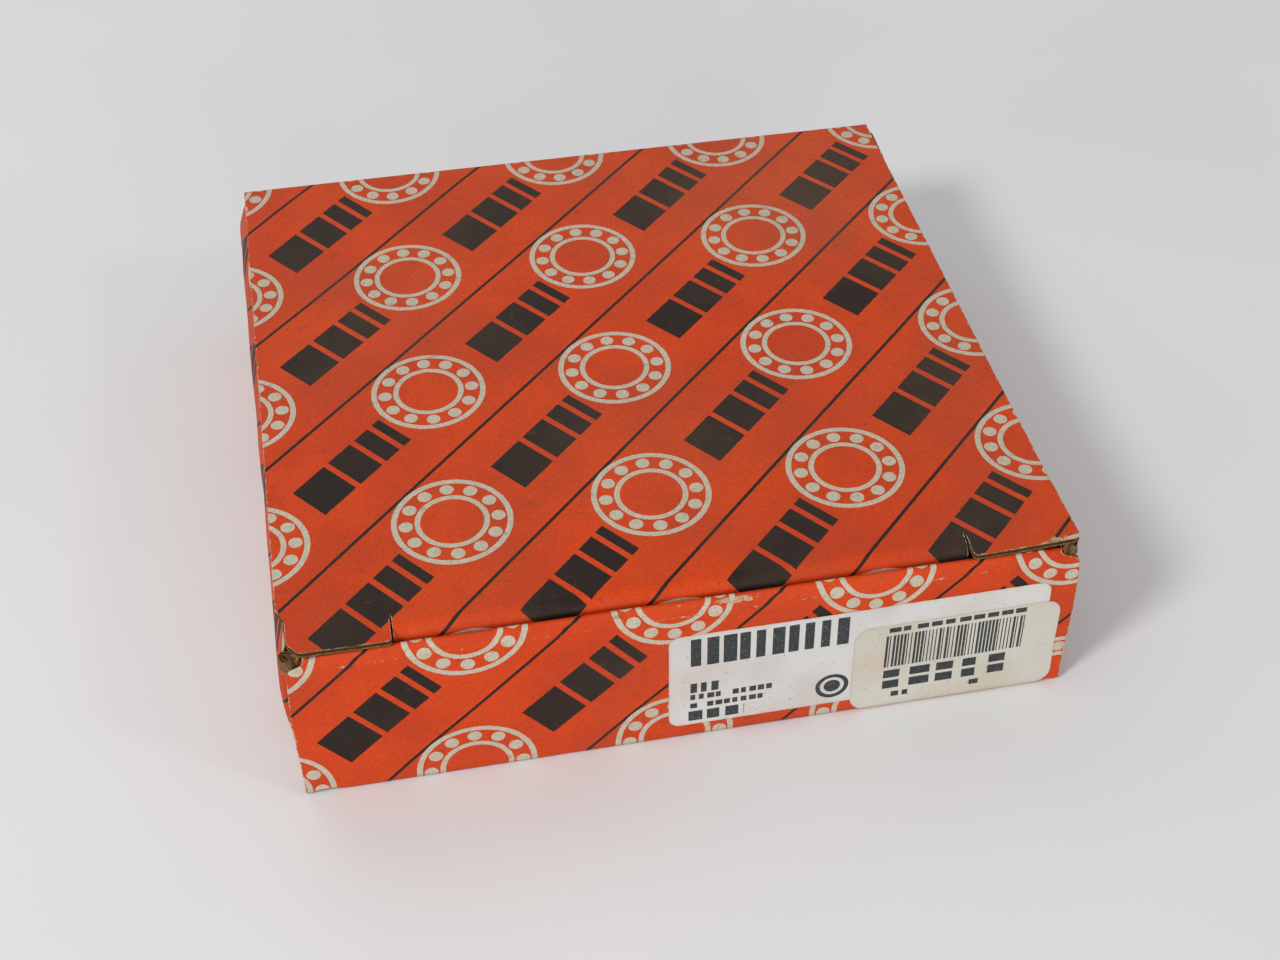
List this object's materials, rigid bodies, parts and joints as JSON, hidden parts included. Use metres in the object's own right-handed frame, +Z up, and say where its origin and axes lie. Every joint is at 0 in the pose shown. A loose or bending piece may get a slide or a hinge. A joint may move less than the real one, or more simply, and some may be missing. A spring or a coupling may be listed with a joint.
{
  "type": "boxed angular contact ball bearing",
  "caption": "Angular contact ball bearing lying in its printed corrugated carton, with a hinged lid, tuck flap, turning inner ring, window cage and rolling balls.",
  "frame": {"origin": "centre of the carton base on the surface it rests on, midway across its width and depth", "axes": "+Z up out of the lid and along the bearing axis, +X to the right along the front wall, so -Y is the labelled front and +Y the hinge"},
  "size_m": [0.139, 0.1372, 0.0355],
  "materials": {
    "printed_board": "orange-red ink on micro-corrugated board with pale unprinted ring figures and black blocks, worn at the creases",
    "white_label": "smooth white self-adhesive paper, faintly soiled",
    "cream_label": "matt cream self-adhesive paper",
    "ring_steel": "ground and superfinished bearing steel, lightly oiled",
    "ball_steel": "polished bearing steel",
    "cage_polyamide": "moulded glass-filled polyamide, natural cream"
  },
  "bodies": {
    "carton": {"carton_tray": "printed_board", "product_label": "white_label", "stock_label": "cream_label", "outer_ring": "ring_steel"},
    "lid": {"carton_lid": "printed_board"},
    "tuck_flap": {"carton_tuck_flap": "printed_board"},
    "inner_ring": {"inner_ring": "ring_steel"},
    "cage": {"cage": "cage_polyamide"},
    "ball_01": {"ball_01": "ball_steel"},
    "ball_02": {"ball_02": "ball_steel"},
    "ball_03": {"ball_03": "ball_steel"},
    "ball_04": {"ball_04": "ball_steel"},
    "ball_05": {"ball_05": "ball_steel"},
    "ball_06": {"ball_06": "ball_steel"},
    "ball_07": {"ball_07": "ball_steel"},
    "ball_08": {"ball_08": "ball_steel"},
    "ball_09": {"ball_09": "ball_steel"},
    "ball_10": {"ball_10": "ball_steel"},
    "ball_11": {"ball_11": "ball_steel"},
    "ball_12": {"ball_12": "ball_steel"}
  },
  "joints": [
    {"name": "lid_hinge", "type": "hinge", "parent": "carton", "child": "lid", "pos_m": [0, 0.0681, 0.03495], "axis": [-1, 0, 0], "range_deg": [0, 175]},
    {"name": "tuck_flap_crease", "type": "hinge", "parent": "lid", "child": "tuck_flap", "pos_m": [0, -0.0631, 0.03495], "axis": [-1, 0, 0], "range_deg": [0, 70]},
    {"name": "inner_ring_spin", "type": "hinge", "parent": "carton", "child": "inner_ring", "pos_m": [0, 0.00155, 0.0169], "axis": [0, 0, 1], "continuous": true},
    {"name": "cage_spin", "type": "hinge", "parent": "carton", "child": "cage", "pos_m": [0, 0.00155, 0.0169], "axis": [0, 0, 1], "continuous": true},
    {"name": "ball_01_roll", "type": "hinge", "parent": "cage", "child": "ball_01", "pos_m": [0.0475, 0.00155, 0.0169], "axis": [-0.6428, 0, 0.766], "continuous": true},
    {"name": "ball_02_roll", "type": "hinge", "parent": "cage", "child": "ball_02", "pos_m": [0.04114, 0.0253, 0.0169], "axis": [-0.5567, -0.3214, 0.766], "continuous": true},
    {"name": "ball_03_roll", "type": "hinge", "parent": "cage", "child": "ball_03", "pos_m": [0.02375, 0.04269, 0.0169], "axis": [-0.3214, -0.5567, 0.766], "continuous": true},
    {"name": "ball_04_roll", "type": "hinge", "parent": "cage", "child": "ball_04", "pos_m": [0, 0.04905, 0.0169], "axis": [0, -0.6428, 0.766], "continuous": true},
    {"name": "ball_05_roll", "type": "hinge", "parent": "cage", "child": "ball_05", "pos_m": [-0.02375, 0.04269, 0.0169], "axis": [0.3214, -0.5567, 0.766], "continuous": true},
    {"name": "ball_06_roll", "type": "hinge", "parent": "cage", "child": "ball_06", "pos_m": [-0.04114, 0.0253, 0.0169], "axis": [0.5567, -0.3214, 0.766], "continuous": true},
    {"name": "ball_07_roll", "type": "hinge", "parent": "cage", "child": "ball_07", "pos_m": [-0.0475, 0.00155, 0.0169], "axis": [0.6428, 0, 0.766], "continuous": true},
    {"name": "ball_08_roll", "type": "hinge", "parent": "cage", "child": "ball_08", "pos_m": [-0.04114, -0.0222, 0.0169], "axis": [0.5567, 0.3214, 0.766], "continuous": true},
    {"name": "ball_09_roll", "type": "hinge", "parent": "cage", "child": "ball_09", "pos_m": [-0.02375, -0.03958, 0.0169], "axis": [0.3214, 0.5567, 0.766], "continuous": true},
    {"name": "ball_10_roll", "type": "hinge", "parent": "cage", "child": "ball_10", "pos_m": [0, -0.04595, 0.0169], "axis": [0, 0.6428, 0.766], "continuous": true},
    {"name": "ball_11_roll", "type": "hinge", "parent": "cage", "child": "ball_11", "pos_m": [0.02375, -0.03958, 0.0169], "axis": [-0.3214, 0.5567, 0.766], "continuous": true},
    {"name": "ball_12_roll", "type": "hinge", "parent": "cage", "child": "ball_12", "pos_m": [0.04114, -0.0222, 0.0169], "axis": [-0.5567, 0.3214, 0.766], "continuous": true}
  ],
  "couplings": [
    {"joint": "tuck_flap_crease", "follows": "lid_hinge", "ratio": 0.4},
    {"joint": "cage_spin", "follows": "inner_ring_spin", "ratio": 0.41049},
    {"joint": "ball_01_roll", "follows": "inner_ring_spin", "ratio": -2.0711},
    {"joint": "ball_02_roll", "follows": "inner_ring_spin", "ratio": -2.0711},
    {"joint": "ball_03_roll", "follows": "inner_ring_spin", "ratio": -2.0711},
    {"joint": "ball_04_roll", "follows": "inner_ring_spin", "ratio": -2.0711},
    {"joint": "ball_05_roll", "follows": "inner_ring_spin", "ratio": -2.0711},
    {"joint": "ball_06_roll", "follows": "inner_ring_spin", "ratio": -2.0711},
    {"joint": "ball_07_roll", "follows": "inner_ring_spin", "ratio": -2.0711},
    {"joint": "ball_08_roll", "follows": "inner_ring_spin", "ratio": -2.0711},
    {"joint": "ball_09_roll", "follows": "inner_ring_spin", "ratio": -2.0711},
    {"joint": "ball_10_roll", "follows": "inner_ring_spin", "ratio": -2.0711},
    {"joint": "ball_11_roll", "follows": "inner_ring_spin", "ratio": -2.0711},
    {"joint": "ball_12_roll", "follows": "inner_ring_spin", "ratio": -2.0711}
  ]
}
